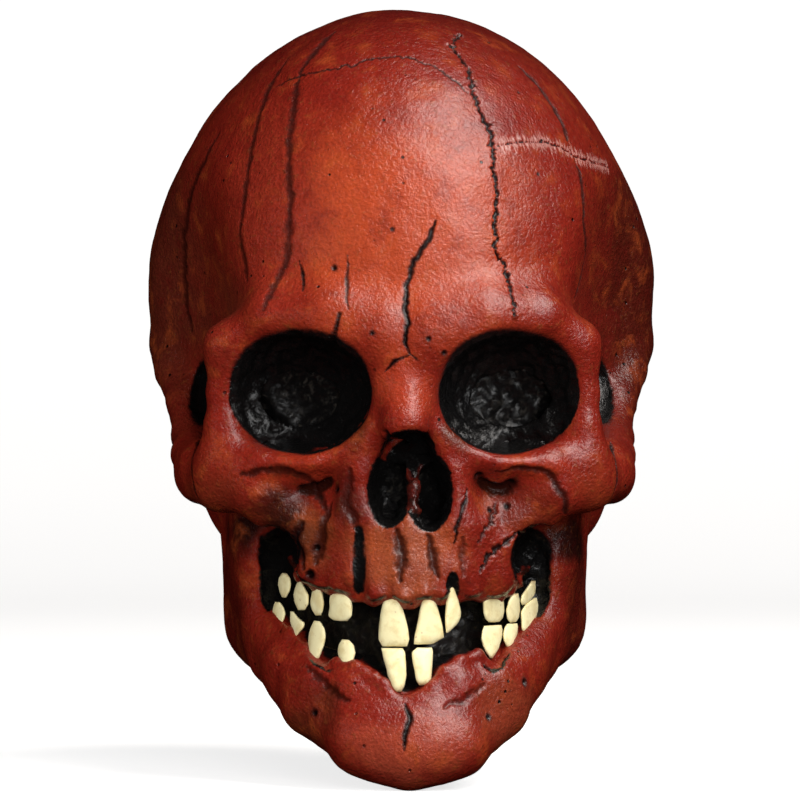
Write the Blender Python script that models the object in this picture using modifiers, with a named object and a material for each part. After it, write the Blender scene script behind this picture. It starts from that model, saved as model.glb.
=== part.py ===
"""Over-the-head latex skull mask: a cast skin, black screens behind its openings, and separate teeth.

Metres, +Z up, the face looks along -Y. The origin is the middle of the wearer's head at eye level.
The bone shapes below are written in millimetres, as a sculptor would measure them, and MM turns them
into metres when a mesh is made. A shape with x above zero is also made on the other side.
"""

import math

import bmesh
import bpy
import numpy as np
from mathutils import Matrix, Vector

MM = 0.001
COLLECTION = "latex_skull_mask"

# Driving sizes, in millimetres.
SKIN_WALL = 2.4
LAYER_GAP = 0.35
SCREEN_WALL = 1.6
TOOTH_ROOM = 0.4
SKIN_LEVEL = 6
SKIN_VOXEL = 3.0
SKIN_KEPT = 0.082
LINING_LEVEL = 4
LINING_LEAN = (0, -0.35, -0.12)
LINING_BLEND = 2
LINING_SAG = 0.5
LINING_ROUNDS = 8
SPINE_MIDDLE = (0, -28, -14)
SPINE_REACH = 78
FARTHEST = 200

# The neck opening is cut on one flat plane, low at the chin and high at the nape.
NECK_FRONT = (0, -75, -150)
NECK_BACK = (0, 100, -85)

# Rounded masses: centre, radii, turn about Z in degrees, how softly it blends into the rest.
MASSES = {
    "cranium": ((0, 22, 42), (102, 100, 110), 0, 0),
    "forehead": ((0, -26, 48), (79, 80, 98), 0, 34),
    "back of the head": ((0, 74, 8), (66, 50, 56), 0, 30),
    "middle of the face": ((0, -30, -62), (57, 60, 76), 0, 18),
    "glabella": ((0, -92, 20), (40, 18, 17), 0, 14),
    "upper jaw": ((0, -74, -50), (42, 30, 30), 0, 10),
    "chin": ((0, -102, -134), (28, 13, 15), 0, 9),
    "bone behind the ear": ((66, 26, -36), (15, 18, 26), 0, 20),
    "jaw branch": ((55, -27, -66), (15, 30, 42), 0, 12),
    "wall behind the orbit": ((55, -60, -4), (16, 22, 27), 0, 8),
}

# Bars of bone: points as (x, y, z, radius), how softly the bar blends into the rest.
BARS = {
    "neck": ([(0, 30, -40, 58), (0, 26, -160, 52)], 20),
    "throat": ([(0, -60, -60, 34), (0, -64, -116, 30)], 14),
    "brow": ([(10, -102, 22, 8), (30, -100, 28, 8.5), (52, -92, 28, 8), (67, -82, 17, 8)], 18),
    "side of the orbit": ([(67, -83, 17, 8), (69, -81, 0, 6), (69, -81, -14, 7), (69, -80, -26, 9)], 6),
    "floor of the orbit": ([(69, -80, -24, 8), (54, -90, -28, 7), (36, -96, -28, 7), (20, -98, -16, 7)], 6),
    "cheekbone": ([(79.5, -54, -34, 10), (70, -74, -34, 12), (56, -84, -38, 11), (44, -84, -46, 10)], 8),
    "cheek crest": ([(52, -84, -47, 6), (43, -88, -50, 5), (38, -90, -58, 4.5), (35, -86, -72, 4.5)], 5),
    "cheek arch": (
        [(78, -60, -28, 9), (82.5, -42, -25, 8), (83.5, -24, -18, 7.5), (86, -8, -5, 7), (91, 8, 8, 6.5),
         (94, 22, 18, 6)],
        8,
    ),
    "bridge of the nose": ([(0, -99, 14, 8.5), (0, -109, -12, 9.5)], 9),
    "side of the nose": ([(10, -98, 2, 7), (17, -98, -30, 7), (20, -97, -50, 8)], 8),
    "upper jaw front": ([(0, -92, -54, 14), (24, -86, -54, 12)], 12),
    "upper gum": ([(0, -99, -70, 10.5), (16, -95, -69.5, 10.5), (30, -84, -69, 10.5), (42, -70, -64, 9)], 9),
    "lower gum": (
        [(0, -98, -127, 10.5), (10, -97, -121, 11), (18, -94, -114, 11), (30, -85, -111, 11),
         (44, -68, -104, 10), (54, -52, -90, 8)],
        8,
    ),
    "lower jaw": (
        [(0, -98, -137, 14.5), (17, -94, -133, 13.5), (35, -78, -121, 12.5), (49, -48, -104, 11),
         (57, -16, -93, 10)],
        9,
    ),
    "jaw branch, front": ([(50, -46, -94, 9), (56, -46, -68, 6), (61, -44, -46, 6)], 9),
    "jaw corner": ([(57, -18, -93, 10), (60.5, -8, -66, 9), (66, -6, -38, 8)], 14),
}

# The temple's hollow goes in before the bars, which stand across it.
TEMPLE = ((116, -50, 24), (45, 54, 66), 0, 26)

# What is hollowed out of them: centre, radii, turn about Z, how round the hollow's lip is.
HOLLOWS = {
    "orbit": ((40.2, -101, -1), (27.2, 32, 23), 14, 5),
    "nose, left": ((-6.2, -106, -37.5), (7.6, 22, 14), 0, 2.4),
    "nose, right": ((9.3, -106, -38.5), (8.4, 22, 14.5), 0, 2.4),
    "nose, top": ((1.2, -107, -29), (11, 23, 15.5), 0, 2.4),
    "pit behind the orbit": ((80, -52, 1), (6.5, 34, 13.5), 6, 4),
    "under the orbit": ((46, -105, -34.5), (18, 8.5, 4.2), 8, 5),
    "under the orbit, inner": ((32, -104, -40), (4.5, 7.4, 8), 0, 5),
    "cheek": ((50, -78, -63), (10, 26, 12), 0, 3.5),
}

# The modelling isn't even. Each: how much, and the heights (and for the sides, the distances from the middle)
# between which it comes in. The crown and sides lean to -X, the chin to +X, and the crown draws in and down.
SIDE_LEAN = (1.4, (-40, 0), (60, 85))
CROWN_LEAN = (1.6, (50, 140))
CHIN_LEAN = (2.2, (-120, -145))
CROWN_TAPER = (0.028, (45, 100))
CROWN_DROP = (2.4, (20, 100))

# The inside of the casting follows only these.
HEAD_MASSES = (
    "cranium", "forehead", "back of the head", "middle of the face", "upper jaw", "chin", "jaw branch",
)
HEAD_BARS = ("neck", "throat", "lower jaw")

# The gum lines, left to right, and the channel between them that the teeth stand in.
UPPER_GUM = [
    (-60, -58), (-47, -68), (-33, -74), (-20, -78), (0, -79), (19, -77), (33, -78), (47, -72), (60, -60),
]
LOWER_GUM = [
    (-60, -82), (-47, -92), (-34, -105), (-18, -107), (-2, -118), (16, -106), (30, -101), (44, -96), (60, -81),
]
CHANNEL_BACK = -94
CHANNEL_HALF_WIDTH = 56
CHANNEL_LIP = 3
ARCH_CURVE = 0.0172

# Openings cut through the skin: centre, radii. The screens behind them overlap each by SCREEN_LAP.
OPENINGS = {
    "left_eye": ((-41, -70, -3), (16, 26, 11)),
    "right_eye": ((41, -70, -3), (16, 26, 11)),
    "nose": ((1, -88, -34), (10, 30, 13)),
    "mouth": ((0, -80, -94), (38, 40, 8)),
}
SCREEN_LAP = 5
SCREENS = {
    "eye_screen_left": "left_eye",
    "eye_screen_right": "right_eye",
    "nose_screen": "nose",
    "mouth_liner": "mouth",
}

# Teeth: middle x, z of the gum end, z of the biting end, width at the gum, width at the bite, lean in degrees.
UPPER_TEETH = [
    (-45.6, -68, -79, 4.0, 5.0, 6),
    (-39.2, -70, -83.6, 4.2, 6.0, 4),
    (-33.6, -73, -85.4, 5.0, 5.6, 2),
    (-24.4, -75.5, -87.5, 8.6, 9.2, 0),
    (-4.2, -76, -98, 8.2, 11.8, -2),
    (9.2, -76, -97.2, 8.6, 11.8, 4),
    (18.4, -71, -92, 6.4, 3.0, 3),
    (34.0, -76, -88, 8.6, 8.8, 0),
    (41.4, -75, -88.2, 5.2, 5.8, -3),
    (47.6, -71, -80.8, 5.6, 6.4, -16),
]
LOWER_TEETH = [
    (-48.2, -90, -80.4, 4.6, 5.4, 8),
    (-41.4, -95.5, -84.4, 5.0, 6.2, 8),
    (-33.8, -105, -87.6, 5.0, 6.8, 4),
    (-22.6, -108, -95, 4.8, 6.8, 2),
    (-3.2, -117, -98.4, 7.4, 10.2, 2),
    (6.6, -114.5, -97.8, 6.2, 8.0, -3),
    (33.2, -103.5, -88.8, 7.0, 8.4, -2),
    (40.4, -100.5, -88.8, 5.2, 6.2, -6),
    (47.4, -93.5, -81, 5.4, 6.8, -14),
]
TOOTH_FACE = -107.5
TOOTH_DEPTH = 7.5
TOOTH_CORNER = 0.62

COLOURS = {
    "latex_skin": ((0.36, 0.035, 0.015, 1), 0.34),
    "black_screen": ((0.012, 0.010, 0.010, 1), 0.45),
    "ivory_tooth": ((0.80, 0.70, 0.48, 1), 0.42),
}


def clear_scene():
    for item in list(bpy.data.objects):
        bpy.data.objects.remove(item, do_unlink=True)


def make_collection(name):
    collection = bpy.data.collections.new(name)
    bpy.context.scene.collection.children.link(collection)
    return collection


def make_material(name):
    colour, roughness = COLOURS[name]
    material = bpy.data.materials.new(name)
    material.use_nodes = True
    shader = material.node_tree.nodes["Principled BSDF"]
    shader.inputs["Base Color"].default_value = colour
    shader.inputs["Roughness"].default_value = roughness
    return material


def soft_union(a, b, blend):
    if not blend:
        return np.minimum(a, b)
    mix = np.clip(0.5 + 0.5 * (b - a) / blend, 0, 1)
    return b + (a - b) * mix - blend * mix * (1 - mix)


def soft_common(a, b, blend):
    return -soft_union(-a, -b, blend)


def soft_cut(body, hollow, blend):
    return soft_common(body, -hollow, blend)


def round_distance(points, centre, radii, turn):
    """How far each point is outside an ellipsoid, to first order, below zero inside it."""
    offset = points - np.array(centre, float)
    if turn:
        c, s = math.cos(math.radians(turn)), math.sin(math.radians(turn))
        offset = offset @ np.array([[c, -s, 0], [s, c, 0], [0, 0, 1]])
    radii = np.array(radii, float)
    scaled = np.linalg.norm(offset / radii, axis=1)
    slope = np.linalg.norm(offset / radii**2, axis=1) + 1e-9
    return scaled * (scaled - 1) / slope


def bar_distance(points, bar):
    """How far each point is outside a chain of tapered capsules."""
    nearest = None
    for start, end in zip(bar, bar[1:]):
        a, b = np.array(start[:3], float), np.array(end[:3], float)
        along = np.clip((points - a) @ (b - a) / ((b - a) @ (b - a)), 0, 1)
        reach = np.linalg.norm(points - a - along[:, None] * (b - a), axis=1)
        reach -= start[3] + (end[3] - start[3]) * along
        nearest = reach if nearest is None else soft_union(nearest, reach, 3)
    return nearest


def channel_distance(points):
    """The mouth channel: between the gum lines, in front of a back wall that follows the dental arch."""
    x, y, z = points.T
    top = np.interp(x, *zip(*UPPER_GUM))
    bottom = np.interp(x, *zip(*LOWER_GUM))
    band = soft_common(z - top, bottom - z, CHANNEL_LIP)
    depth = y - (CHANNEL_BACK + ARCH_CURVE * x * x)
    side = np.abs(x) - CHANNEL_HALF_WIDTH
    return soft_common(soft_common(band, depth, CHANNEL_LIP), side, CHANNEL_LIP)


def ramp(value, ends):
    """0 at the first end, 1 at the second, and level at both."""
    t = np.clip((value - ends[0]) / (ends[1] - ends[0]), 0, 1)
    return t * t * (3 - 2 * t)


def leaned(points):
    """Where each point lies in the even form."""
    x, z = points[:, 0], points[:, 2]
    aside = SIDE_LEAN[0] * ramp(z, SIDE_LEAN[1]) * ramp(np.abs(x), SIDE_LEAN[2])
    aside += CROWN_LEAN[0] * ramp(z, CROWN_LEAN[1]) - CHIN_LEAN[0] * ramp(z, CHIN_LEAN[1])
    narrowed = (x + aside) * (1 + CROWN_TAPER[0] * ramp(z, CROWN_TAPER[1]))
    return np.column_stack([narrowed, points[:, 1], z + CROWN_DROP[0] * ramp(z, CROWN_DROP[1])])


def head_distance(points):
    """The plain head inside: the inside of the casting doesn't follow the narrow bars of bone."""
    points = leaned(points)
    distance = np.full(len(points), 1e3)
    both_sides = np.column_stack([np.abs(points[:, 0]), points[:, 1:]])
    for name in HEAD_MASSES:
        centre, radii, turn, blend = MASSES[name]
        distance = soft_union(distance, round_distance(both_sides, centre, radii, turn), blend)
    for name in HEAD_BARS:
        distance = soft_union(distance, bar_distance(both_sides, BARS[name][0]), BARS[name][1])
    return distance


def skull_distance(points):
    """How far each point is outside the skull, below zero inside it. A mirrored shape sees |x|."""
    points = leaned(points)
    mirrored = np.column_stack([np.abs(points[:, 0]), points[:, 1:]])
    distance = np.full(len(points), 1e3)
    for centre, radii, turn, blend in MASSES.values():
        side = mirrored if centre[0] > 0 else points
        distance = soft_union(distance, round_distance(side, centre, radii, turn), blend)
    distance = soft_cut(distance, round_distance(mirrored, *TEMPLE[:3]), TEMPLE[3])
    for bar, blend in BARS.values():
        side = mirrored if max(point[0] for point in bar) > 0 else points
        distance = soft_union(distance, bar_distance(side, bar), blend)
    for name, (centre, radii, turn, lip) in HOLLOWS.items():
        side = points if name.startswith("nose") else mirrored
        distance = soft_cut(distance, round_distance(side, centre, radii, turn), lip)
    return soft_cut(distance, channel_distance(points), CHANNEL_LIP)


def gradient(form, points, step=0.3):
    slopes = np.empty_like(points)
    for axis in range(3):
        shift = np.zeros(3)
        shift[axis] = step
        slopes[:, axis] = (form(points + shift) - form(points - shift)) / (2 * step)
    return slopes


def press_onto(form, points, rounds=3, most=2.0):
    """Moves points onto the form, each along its own slope."""
    for _ in range(rounds):
        slope = gradient(form, points)
        reach = np.clip(form(points) / ((slope**2).sum(axis=1) + 1e-9), -most, most)
        points = points - reach[:, None] * slope
    return points


def even_out(form, points, edges, rounds):
    """Slides the points along the form, so that the triangles come out alike."""
    count = np.bincount(edges.ravel(), minlength=len(points))[:, None]
    for _ in range(rounds):
        total = np.zeros_like(points)
        np.add.at(total, edges[:, 0], points[edges[:, 1]])
        np.add.at(total, edges[:, 1], points[edges[:, 0]])
        move = (total / count - points) * 0.5
        normal = gradient(form, points)
        normal /= np.linalg.norm(normal, axis=1)[:, None] + 1e-9
        points = press_onto(form, points + move - (move * normal).sum(axis=1)[:, None] * normal, 2)
    return points


def spine_of(directions):
    """Where each ray starts: low for a ray that looks down at the jaw, high for one that looks up."""
    start = np.tile(np.array(SPINE_MIDDLE, float), (len(directions), 1))
    start[:, 2] += SPINE_REACH * directions[:, 2]
    return start


def reach_from_outside(form, directions):
    start, reach = spine_of(directions), np.full(len(directions), float(FARTHEST))
    for _ in range(160):
        distance = form(start + directions * reach[:, None])
        reach -= np.where(distance > 0.05, np.clip(distance * 0.6, 0.1, 12), 0)
    return start + directions * reach[:, None]


def reach_from_inside(form, directions):
    start, reach = spine_of(directions), np.full(len(directions), 1.0)
    for _ in range(160):
        distance = form(start + directions * reach[:, None])
        reach += np.where(distance < -0.05, np.clip(-distance * 0.5, 0.1, 10), 0)
    return start + directions * reach[:, None]


def points_of(mesh):
    flat = np.empty(len(mesh.verts) * 3)
    for index, vert in enumerate(mesh.verts):
        flat[3 * index : 3 * index + 3] = vert.co
    return flat.reshape(-1, 3)


def place_points(mesh, points):
    for vert, point in zip(mesh.verts, points):
        vert.co = point


def edges_of(mesh):
    return np.array([[vert.index for vert in edge.verts] for edge in mesh.edges])


def finish_object(name, mesh, collection, material=None):
    bmesh.ops.scale(mesh, vec=(MM, MM, MM), verts=mesh.verts[:])
    bmesh.ops.recalc_face_normals(mesh, faces=mesh.faces[:])
    data = bpy.data.meshes.new(name)
    mesh.to_mesh(data)
    mesh.free()
    data.shade_smooth()
    item = bpy.data.objects.new(name, data)
    collection.objects.link(item)
    if material:
        data.materials.append(material)
    else:
        item.hide_render = True
        item.display_type = "WIRE"
    return item


def remeshed(mesh, voxel):
    """The same surface as even squares, clear of folds, still in millimetres."""
    data = bpy.data.meshes.new("rough_skull")
    mesh.to_mesh(data)
    mesh.free()
    item = bpy.data.objects.new("rough_skull", data)
    bpy.context.scene.collection.objects.link(item)
    modifier = item.modifiers.new("even squares", "REMESH")
    modifier.mode = "VOXEL"
    modifier.voxel_size = voxel
    evaluated = item.evaluated_get(bpy.context.evaluated_depsgraph_get())
    mesh = bmesh.new()
    mesh.from_mesh(evaluated.to_mesh())
    evaluated.to_mesh_clear()
    bpy.data.objects.remove(item, do_unlink=True)
    bmesh.ops.triangulate(mesh, faces=mesh.faces[:])
    mesh.verts.index_update()
    return mesh


def cut(item, cutter, operation="DIFFERENCE"):
    modifier = item.modifiers.new(cutter.name, "BOOLEAN")
    modifier.operation = operation
    modifier.object = cutter
    modifier.solver = "EXACT"


def sunk(form, points, groups):
    """Draws points in wherever the middle of an edge or a face lies more than LINING_SAG too shallow."""
    for _ in range(LINING_ROUNDS):
        for group in groups:
            middle = points[group].mean(axis=1)
            shallow = np.maximum(form(middle) - LINING_SAG, 0)
            shift, count = np.zeros_like(points), np.full((len(points), 1), 1e-9)
            for corner in group.T:
                np.add.at(shift, corner, -shallow[:, None] * gradient(form, middle))
                np.add.at(count, corner, (shallow > 0)[:, None].astype(float))
            points = points + shift / count
    return points


def inside_distance(points):
    """How far each point is from the inside of the casting, which lies SKIN_WALL under its outside."""
    return soft_common(skull_distance(points), head_distance(points), LINING_BLEND) + SKIN_WALL


def lining_mesh(farther_in=0.0):
    """The inside of the casting, or a surface that lies evenly farther in."""
    mesh = bmesh.new()
    bmesh.ops.create_icosphere(mesh, subdivisions=LINING_LEVEL, radius=1)
    leaning = points_of(mesh) + np.array(LINING_LEAN)
    leaning /= np.linalg.norm(leaning, axis=1)[:, None]
    faces = np.array([[vert.index for vert in face.verts] for face in mesh.faces])
    points = reach_from_inside(inside_distance, leaning)
    points = sunk(inside_distance, points, (edges_of(mesh), faces))
    slope = gradient(inside_distance, points)
    place_points(mesh, points - farther_in * slope / (np.linalg.norm(slope, axis=1)[:, None] + 1e-9))
    return mesh


def make_lining(name, farther_in, cutters):
    return finish_object(name, lining_mesh(farther_in), cutters)


def make_neck_cutter(cutters):
    """A large block whose top is the plane of the neck opening."""
    front, back = Vector(NECK_FRONT), Vector(NECK_BACK)
    size = 500
    mesh = bmesh.new()
    bmesh.ops.create_cube(mesh, size=size)
    bmesh.ops.translate(mesh, vec=(0, 0, -size / 2), verts=mesh.verts[:])
    slope = math.atan2(back.z - front.z, back.y - front.y)
    place = Matrix.Translation((front + back) / 2) @ Matrix.Rotation(slope, 4, "X")
    bmesh.ops.transform(mesh, matrix=place, verts=mesh.verts[:])
    return finish_object("neck_cutter", mesh, cutters)


def make_opening_cutter(name, centre, radii, cutters):
    mesh = bmesh.new()
    bmesh.ops.create_uvsphere(mesh, u_segments=20, v_segments=12, radius=1)
    bmesh.ops.scale(mesh, vec=radii, verts=mesh.verts[:])
    bmesh.ops.translate(mesh, vec=centre, verts=mesh.verts[:])
    return finish_object(name, mesh, cutters)


def tooth_mesh(x, gum_z, bite_z, gum_width, bite_width, lean, room=0.0):
    """A crown with rounded corners, set on the dental arch. Room swells it, to cut its own socket."""
    mesh = bmesh.new()
    bmesh.ops.create_uvsphere(mesh, u_segments=10, v_segments=7, radius=1)
    half = abs(bite_z - gum_z) / 2 + room
    for vert in mesh.verts:
        for axis in range(3):
            vert.co[axis] = math.copysign(abs(vert.co[axis]) ** TOOTH_CORNER, vert.co[axis])
        bite = 0.5 - 0.5 * vert.co.z if bite_z < gum_z else 0.5 + 0.5 * vert.co.z
        width = gum_width + (bite_width - gum_width) * bite
        vert.co.x *= width / 2 + room
        vert.co.y *= TOOTH_DEPTH / 2 * (1 - 0.35 * bite) + room
        vert.co.z *= half
    facing = math.atan(2 * ARCH_CURVE * x)
    turn = Matrix.Rotation(facing, 4, "Z") @ Matrix.Rotation(math.radians(lean), 4, "Y")
    place = (x, TOOTH_FACE + TOOTH_DEPTH / 2 + ARCH_CURVE * x * x, (gum_z + bite_z) / 2)
    bmesh.ops.transform(mesh, matrix=Matrix.Translation(place) @ turn, verts=mesh.verts[:])
    return mesh


def all_teeth():
    for prefix, row in (("upper", UPPER_TEETH), ("lower", LOWER_TEETH)):
        for number, tooth in enumerate(row, 1):
            yield f"{prefix}_tooth_{number:02d}", tooth


def make_teeth(parts, material):
    for name, tooth in all_teeth():
        finish_object(name, tooth_mesh(*tooth), parts, material)


def make_skin(parts, cutters, material):
    mesh = bmesh.new()
    bmesh.ops.create_icosphere(mesh, subdivisions=SKIN_LEVEL, radius=1)
    place_points(mesh, reach_from_outside(skull_distance, points_of(mesh)))
    mesh = remeshed(mesh, SKIN_VOXEL)
    place_points(mesh, even_out(skull_distance, points_of(mesh), edges_of(mesh), 8))
    skin = finish_object("skull_skin", mesh, parts, material)
    thinner = skin.modifiers.new("fewer faces", "DECIMATE")
    thinner.ratio = SKIN_KEPT
    cut(skin, make_lining("head_room", 0, cutters))
    cut(skin, make_neck_cutter(cutters))
    for name, (centre, radii) in OPENINGS.items():
        cut(skin, make_opening_cutter(name + "_opening", centre, radii, cutters))
    for name, tooth in all_teeth():
        cut(skin, finish_object(name + "_socket", tooth_mesh(*tooth, room=TOOTH_ROOM), cutters))
    return skin


def make_screens(parts, cutters, material):
    """Each screen is a patch of a thin layer that lines the skin, cut out round its opening."""
    hollow = make_lining("lining_room", LAYER_GAP + SCREEN_WALL, cutters)
    for name, opening in SCREENS.items():
        screen = finish_object(name, lining_mesh(LAYER_GAP), parts, material)
        centre, radii = OPENINGS[opening]
        radii = (radii[0] + SCREEN_LAP, radii[1], radii[2] + SCREEN_LAP)
        cut(screen, make_opening_cutter(name + "_outline", centre, radii, cutters), "INTERSECT")
        cut(screen, hollow)


def main():
    clear_scene()
    parts, cutters = make_collection(COLLECTION), make_collection("cutters")
    materials = {name: make_material(name) for name in COLOURS}
    make_skin(parts, cutters, materials["latex_skin"])
    make_screens(parts, cutters, materials["black_screen"])
    make_teeth(parts, materials["ivory_tooth"])


main()
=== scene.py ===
import math

import bmesh
import bpy
import numpy as np
from mathutils import Matrix, Vector, noise
from mathutils.kdtree import KDTree


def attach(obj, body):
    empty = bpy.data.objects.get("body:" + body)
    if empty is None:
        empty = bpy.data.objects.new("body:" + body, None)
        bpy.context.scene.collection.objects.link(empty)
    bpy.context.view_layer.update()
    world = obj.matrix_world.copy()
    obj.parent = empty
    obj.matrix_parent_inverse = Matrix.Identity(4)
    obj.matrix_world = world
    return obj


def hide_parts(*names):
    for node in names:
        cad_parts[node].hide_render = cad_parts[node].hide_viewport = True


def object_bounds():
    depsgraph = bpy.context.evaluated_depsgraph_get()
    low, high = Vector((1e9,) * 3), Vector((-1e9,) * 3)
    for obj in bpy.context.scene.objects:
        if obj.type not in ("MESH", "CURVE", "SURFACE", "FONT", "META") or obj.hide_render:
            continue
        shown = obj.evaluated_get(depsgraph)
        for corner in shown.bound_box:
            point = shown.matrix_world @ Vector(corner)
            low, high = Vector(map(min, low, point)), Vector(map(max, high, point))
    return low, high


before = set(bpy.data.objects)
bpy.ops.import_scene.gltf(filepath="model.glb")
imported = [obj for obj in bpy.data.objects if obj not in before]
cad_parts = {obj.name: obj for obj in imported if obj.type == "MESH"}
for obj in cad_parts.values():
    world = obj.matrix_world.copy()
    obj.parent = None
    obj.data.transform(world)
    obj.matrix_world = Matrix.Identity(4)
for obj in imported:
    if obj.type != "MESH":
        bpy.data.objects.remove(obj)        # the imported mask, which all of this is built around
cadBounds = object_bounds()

mm = 0.001   # the shapes are written in millimetres, and meshes are in metres

# The bone, as a sculptor blocks it out.

# Rounded masses: centre, radii, turn about Z in degrees, how softly each joins the rest.
# A shape with x above zero is made on both sides.
boneMasses = {
    "cranium": ((0, 22, 42), (102, 100, 110), 0, 0),
    "forehead": ((0, -26, 48), (79, 80, 98), 0, 34),
    "backOfHead": ((0, 74, 8), (66, 50, 56), 0, 30),
    "middleOfFace": ((0, -30, -62), (57, 60, 76), 0, 18),
    "glabella": ((0, -92, 20), (40, 18, 17), 0, 14),
    "upperJaw": ((0, -74, -50), (42, 30, 30), 0, 10),
    "chin": ((0, -102, -134), (28, 13, 15), 0, 9),
    "behindEar": ((66, 26, -36), (15, 18, 26), 0, 20),
    "jawBranch": ((55, -27, -66), (15, 30, 42), 0, 12),
    "behindOrbit": ((55, -60, -4), (16, 22, 27), 0, 8),
}
templeHollow = ((116, -50, 24), (45, 54, 66), 0, 26)

# Bars of bone: points as (x, y, z, radius), how softly the bar joins the rest.
boneBars = {
    "neck": ([(0, 30, -40, 58), (0, 26, -160, 52)], 20),
    "throat": ([(0, -60, -60, 34), (0, -64, -116, 30)], 14),
    "brow": ([(10, -102, 22, 8), (30, -100, 28, 8.5), (52, -92, 28, 8), (67, -82, 17, 8)], 18),
    "sideOfOrbit": ([(67, -83, 17, 8), (69, -81, 0, 6), (69, -81, -14, 7), (69, -80, -26, 9)], 6),
    "floorOfOrbit": ([(69, -80, -24, 8), (54, -90, -28, 7), (36, -96, -28, 7), (20, -98, -16, 7)], 6),
    "cheekbone": ([(79.5, -54, -34, 10), (70, -74, -34, 12), (56, -84, -38, 11), (44, -84, -46, 10)], 8),
    "cheekCrest": ([(52, -84, -47, 6), (43, -88, -50, 5), (38, -90, -58, 4.5), (35, -86, -72, 4.5)], 5),
    "cheekArch": (
        [(78, -60, -28, 9), (82.5, -42, -25, 8), (83.5, -24, -18, 7.5), (86, -8, -5, 7), (91, 8, 8, 6.5),
         (94, 22, 18, 6)],
        8,
    ),
    "bridgeOfNose": ([(0, -99, 14, 8.5), (0, -109, -12, 9.5)], 9),
    "sideOfNose": ([(10, -98, 2, 7), (17, -98, -30, 7), (20, -97, -50, 8)], 8),
    "upperJawFront": ([(0, -92, -54, 14), (24, -86, -54, 12)], 12),
    "upperGum": ([(0, -99, -70, 10.5), (16, -95, -69.5, 10.5), (30, -84, -69, 10.5), (42, -70, -64, 9)], 9),
    "lowerGum": (
        [(0, -98, -127, 10.5), (10, -97, -121, 11), (18, -94, -114, 11), (30, -85, -111, 11),
         (44, -68, -104, 10),
         (54, -52, -90, 8)],
        8,
    ),
    "lowerJaw": (
        [(0, -98, -137, 14.5), (17, -94, -133, 13.5), (35, -78, -121, 12.5), (49, -48, -104, 11),
         (57, -16, -93, 10)],
        9,
    ),
    "jawBranchFront": ([(50, -46, -94, 9), (56, -46, -68, 6), (61, -44, -46, 6)], 9),
    "jawCorner": ([(57, -18, -93, 10), (60.5, -8, -66, 9), (66, -6, -38, 8)], 14),
}

# What is hollowed out: centre, radii, turn about Z, how round the lip is, whether both sides have it,
# and how far outside the hollow its black paint is full and ends, or None where it gets only the dark wash
# and painted shade.
boneHollows = {
    "orbit": ((40.2, -101, -1), (27.2, 32, 23), 14, 5, True, (-0.2, 1.0)),
    "noseLeft": ((-6.2, -106, -37.5), (7.6, 22, 14), 0, 2.4, False, (0.2, 1.3)),
    "noseRight": ((9.3, -106, -38.5), (8.4, 22, 14.5), 0, 2.4, False, (0.2, 1.3)),
    "noseTop": ((1.2, -107, -29), (11, 23, 15.5), 0, 2.4, False, (0.2, 1.3)),
    "templePit": ((80, -44, 1), (6.5, 44, 13.5), 6, 4, True, (0.6, 3.0)),
    "underOrbit": ((46, -105, -34.5), (18, 8.5, 4.2), 8, 5, True, None),
    "underOrbitInner": ((32, -104, -40), (4.5, 7.4, 8), 0, 5, True, None),
    "cheekHollow": ((50, -78, -63), (10, 26, 12), 0, 3.5, True, (0.4, 2.2)),
    "lostTooth": ((-17.4, -107, -69), (2.0, 9, 17), 0, 3.0, False, (-0.3, 1.3)),
    "fangSlot": ((18.4, -106, -77), (2.0, 7, 7.5), 0, 1.5, False, (0.2, 1.2)),
}

# The thin wall that is left standing in the nose hole.
septumBars = [
    [(-4, -97, -24, 0.9), (0.6, -98, -31, 1.2), (3.4, -99, -37, 2.0), (3.8, -101, -45, 2.8)],
    [(6.4, -95, -29, 0.8), (4.4, -98, -36, 1.3)],
    [(1, -93, -16, 1.0), (1.4, -92, -27, 1.2)],
]

# The gum lines, as (x, z) from left to right, with the channel between them that the teeth stand in.
upperGumLine = [
    (-60, -52), (-53, -58), (-47, -65), (-40, -72), (-34, -75), (-28, -76), (-19, -78.5), (-12, -80),
    (-8, -78), (-5, -78), (0, -80.5), (3, -80.5), (7, -78.2), (10, -78.4), (14, -79.5), (21, -78.5),
    (29, -79), (36, -79), (40, -77), (44, -74), (49, -69), (53, -64), (60, -56),
]
lowerGumLine = [
    (-60, -78), (-51, -88), (-44, -94), (-39, -99), (-35, -104), (-29, -107), (-26, -104), (-22, -106),
    (-19, -105), (-13, -108), (-8, -112), (-5, -117), (-1, -119), (5, -117), (10, -113), (15, -107),
    (21, -103.5), (28, -101), (31, -105), (34, -107), (37, -106), (40, -101), (44, -97), (50, -90), (60, -78),
]
mouth = {
    "back": -94,          # y of the channel's back wall at the middle
    "halfWidth": 56,
    "lip": 1.6,
    "arch": 0.0172,       # the dental arch is y = front + arch * x * x
    "upperRoll": (-104.5, 1.7),   # y of the rolled gum edge at the middle, and its radius
    "lowerRoll": (-106.0, 2.2),
}

# Bulges over the roots of the upper teeth: x, top z, bottom z, radius.
toothRoots = [
    (-33, -58, -74, 4.2), (-24, -48, -74, 4.8), (-10.3, -56, -77, 4.0), (-1, -60, -78, 4.2),
    (7, -60, -77, 3.6), (14.6, -54, -77, 4.2), (24.5, -50, -76, 4.6), (32.5, -58, -76, 4.4),
]


def lengthOf(vectors):
    return np.sqrt(np.einsum("ij,ij->i", vectors, vectors))


def softUnion(a, b, blend):
    if not blend:
        return np.minimum(a, b)
    mix = np.clip(0.5 + 0.5 * (b - a) / blend, 0, 1)
    return b + (a - b) * mix - blend * mix * (1 - mix)


def softCommon(a, b, blend):
    return -softUnion(-a, -b, blend)


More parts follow.
